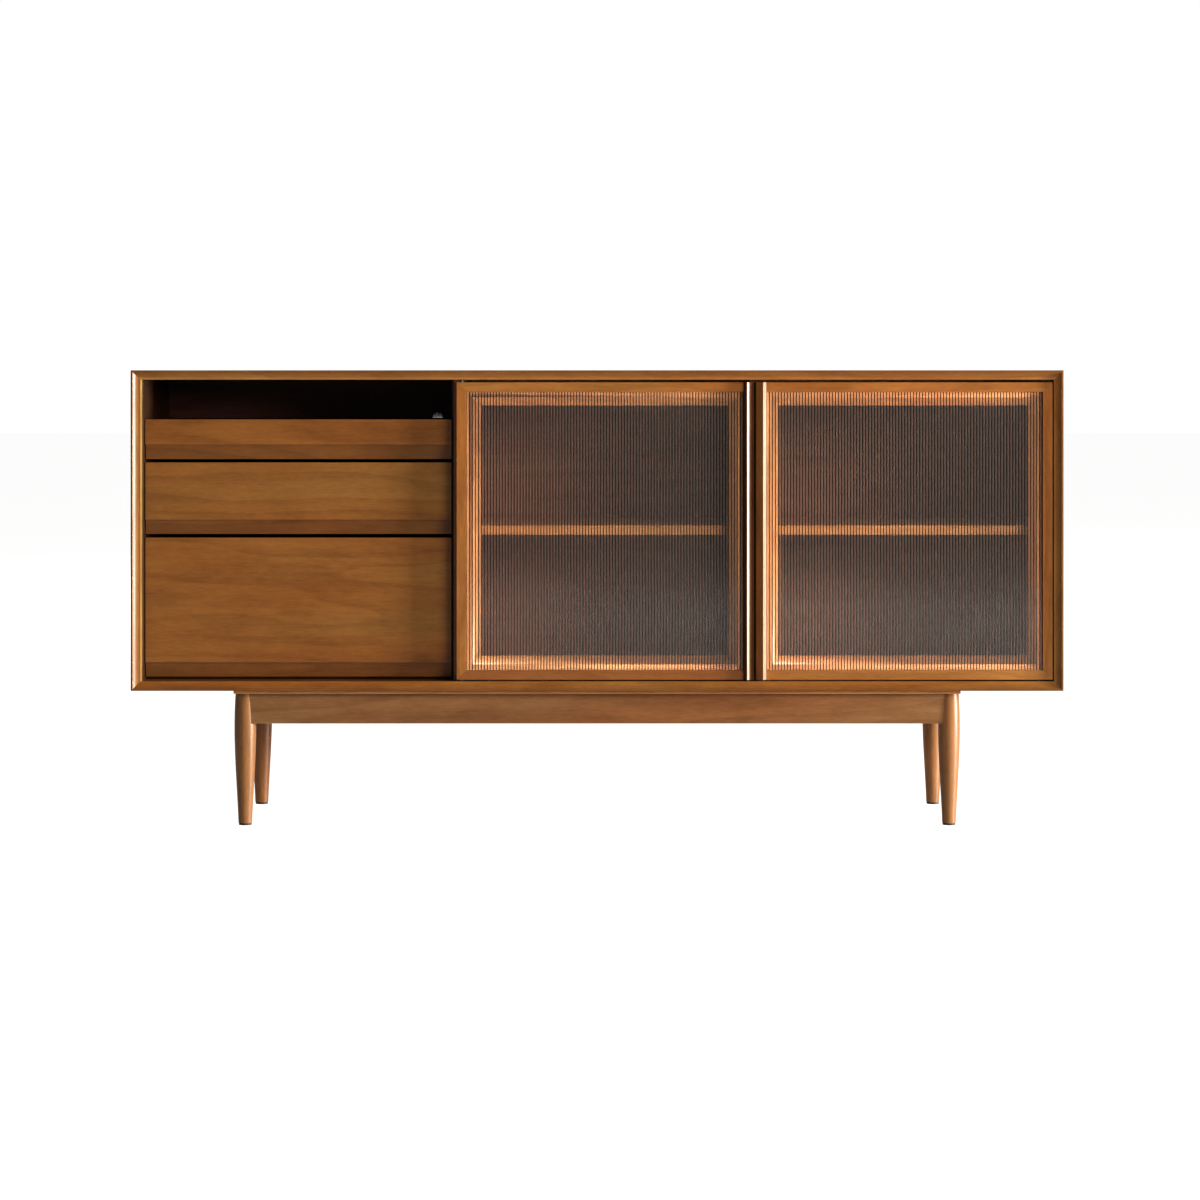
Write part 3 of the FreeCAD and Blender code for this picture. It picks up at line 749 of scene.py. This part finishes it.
def reed_profile(left, pitch, count, front):
    """(x, y) points of the front face: equal round reeds that fill the width."""
    centre_rise = math.sqrt(REED_RADIUS ** 2 - (pitch / 2) ** 2)
    points = []
    for reed in range(count):
        for step in range(REED_STEPS):
            offset = pitch * (step / REED_STEPS - 0.5)
            rise = math.sqrt(REED_RADIUS ** 2 - offset ** 2) - centre_rise
            points.append((left + pitch * (reed + 0.5) + offset, front - rise))
    points.append((left + pitch * count, front))
    return points


def pane_mesh(name, profile, back, bottom, top):
    """A closed pane between two heights: the profile in front, and flat behind."""
    rows = []
    vertices = []
    for z in (bottom, top):
        for line in (profile, [(x, back) for x, _ in profile]):
            rows.append(range(len(vertices), len(vertices) + len(line)))
            vertices += [(x, y, z) for x, y in line]
    front_low, back_low, front_high, back_high = rows
    faces = []
    for a, b in zip(range(len(profile) - 1), range(1, len(profile))):
        faces.append((front_low[a], front_low[b], front_high[b], front_high[a]))
        faces.append((back_low[b], back_low[a], back_high[a], back_high[b]))
        faces.append((front_high[a], front_high[b], back_high[b], back_high[a]))
        faces.append((front_low[b], front_low[a], back_low[a], back_low[b]))
    faces.append((front_low[0], front_high[0], back_high[0], back_low[0]))
    faces.append((front_low[-1], back_low[-1], back_high[-1], front_high[-1]))
    mesh = bpy.data.meshes.new(name)
    mesh.from_pydata(vertices, [], faces)
    mesh.polygons.foreach_set("use_smooth", [True] * len(faces))
    mesh.set_sharp_from_angle(angle=REED_SHARP_ANGLE)
    mesh.update()
    return mesh


def make_reeded_glass(door):
    """A pane with round reeds that stands for a door's flat CAD pane."""
    name = door + "_reeded_glass"
    node = door + "_glass"
    low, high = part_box(node)
    left, right = low.x + GLASS_EDGE_CLEAR, high.x - GLASS_EDGE_CLEAR
    bottom, top = low.z + GLASS_EDGE_CLEAR, high.z - GLASS_EDGE_CLEAR
    count = round((right - left) / REED_PITCH)
    pitch = (right - left) / count
    profile = reed_profile(left, pitch, count, low.y + REED_SET_BACK)
    mesh = pane_mesh(name, profile, high.y - GLASS_BACK_CLEAR, bottom, top)
    mesh.materials.append(reeded_glass_material(name, left, pitch))
    pane = bpy.data.objects.new(name, mesh)
    bpy.context.scene.collection.objects.link(pane)
    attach(pane, door)
    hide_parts(node)


# ---------------------------------------------------------------- cable brush, painted shade in the notch

BRISTLES = 26
BRISTLE_WIDTH = 0.625 * MM
BRUSH_RADIUS = 9.0 * MM
BRUSH_DEPTH = 1.2 * MM
BRUSH_LEAN = 0.10 * MM
# Angle of the sine from one bristle to the next, so that neighbours lean differently.
LEAN_STEP = 2.4
BRUSH_CLEAR = 0.2 * MM
# Black of the bristles that dim the notch: painted shade.
NOTCH_SHADE_BLACK = (0.02, 0.02, 0.02)


def notch_middle():
    """The middle of the cable notch along the sideboard, as the record's openings give it."""
    openings = frame["record"]["physics"]["openings"]
    low, high = next(opening["box_m"] for opening in openings if opening["name"] == "cable_notch")
    return (low[0] + high[0]) / 2


def make_notch_shade_brush():
    """A row of black bristles in the cable notch at the back of the niche, so close that the backdrop
    shows only dim: painted shade.
    """
    back_low, back_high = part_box("back_panel_left")
    shelf_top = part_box("niche_shelf")[1].z
    notch_x = notch_middle()
    y = (back_low.y + back_high.y) / 2
    near, far = y - BRUSH_DEPTH / 2, y + BRUSH_DEPTH / 2
    half = BRISTLE_WIDTH / 2
    vertices = []
    faces = []
    for index in range(BRISTLES):
        offset = BRUSH_RADIUS * (2 * (index + 0.5) / BRISTLES - 1)
        rim = shelf_top + math.sqrt(BRUSH_RADIUS ** 2 - offset ** 2)
        lean = BRUSH_LEAN * math.sin(index * LEAN_STEP)
        first = len(vertices)
        for z, shift in ((shelf_top + BRUSH_CLEAR, lean), (rim, 0.0)):
            x = notch_x + offset + shift
            vertices += [(x - half, near, z), (x + half, near, z), (x + half, far, z), (x - half, far, z)]
        faces += [(first + 3, first + 2, first + 1, first), (first + 4, first + 5, first + 6, first + 7)]
        for side in range(4):
            after = (side + 1) % 4
            faces.append((first + side, first + after, first + 4 + after, first + 4 + side))
    mesh = bpy.data.meshes.new("notch_shade_brush")
    mesh.from_pydata(vertices, [], faces)
    mesh.materials.append(plastic("bristle_notch_shade", NOTCH_SHADE_BLACK))
    brush = bpy.data.objects.new("notch_shade_brush", mesh)
    bpy.context.scene.collection.objects.link(brush)
    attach(brush, "cabinet")


make_camera()
make_studio()
finish_boards()
finish_hardware()
for door in DOORS:
    make_reeded_glass(door)
make_notch_shade_brush()
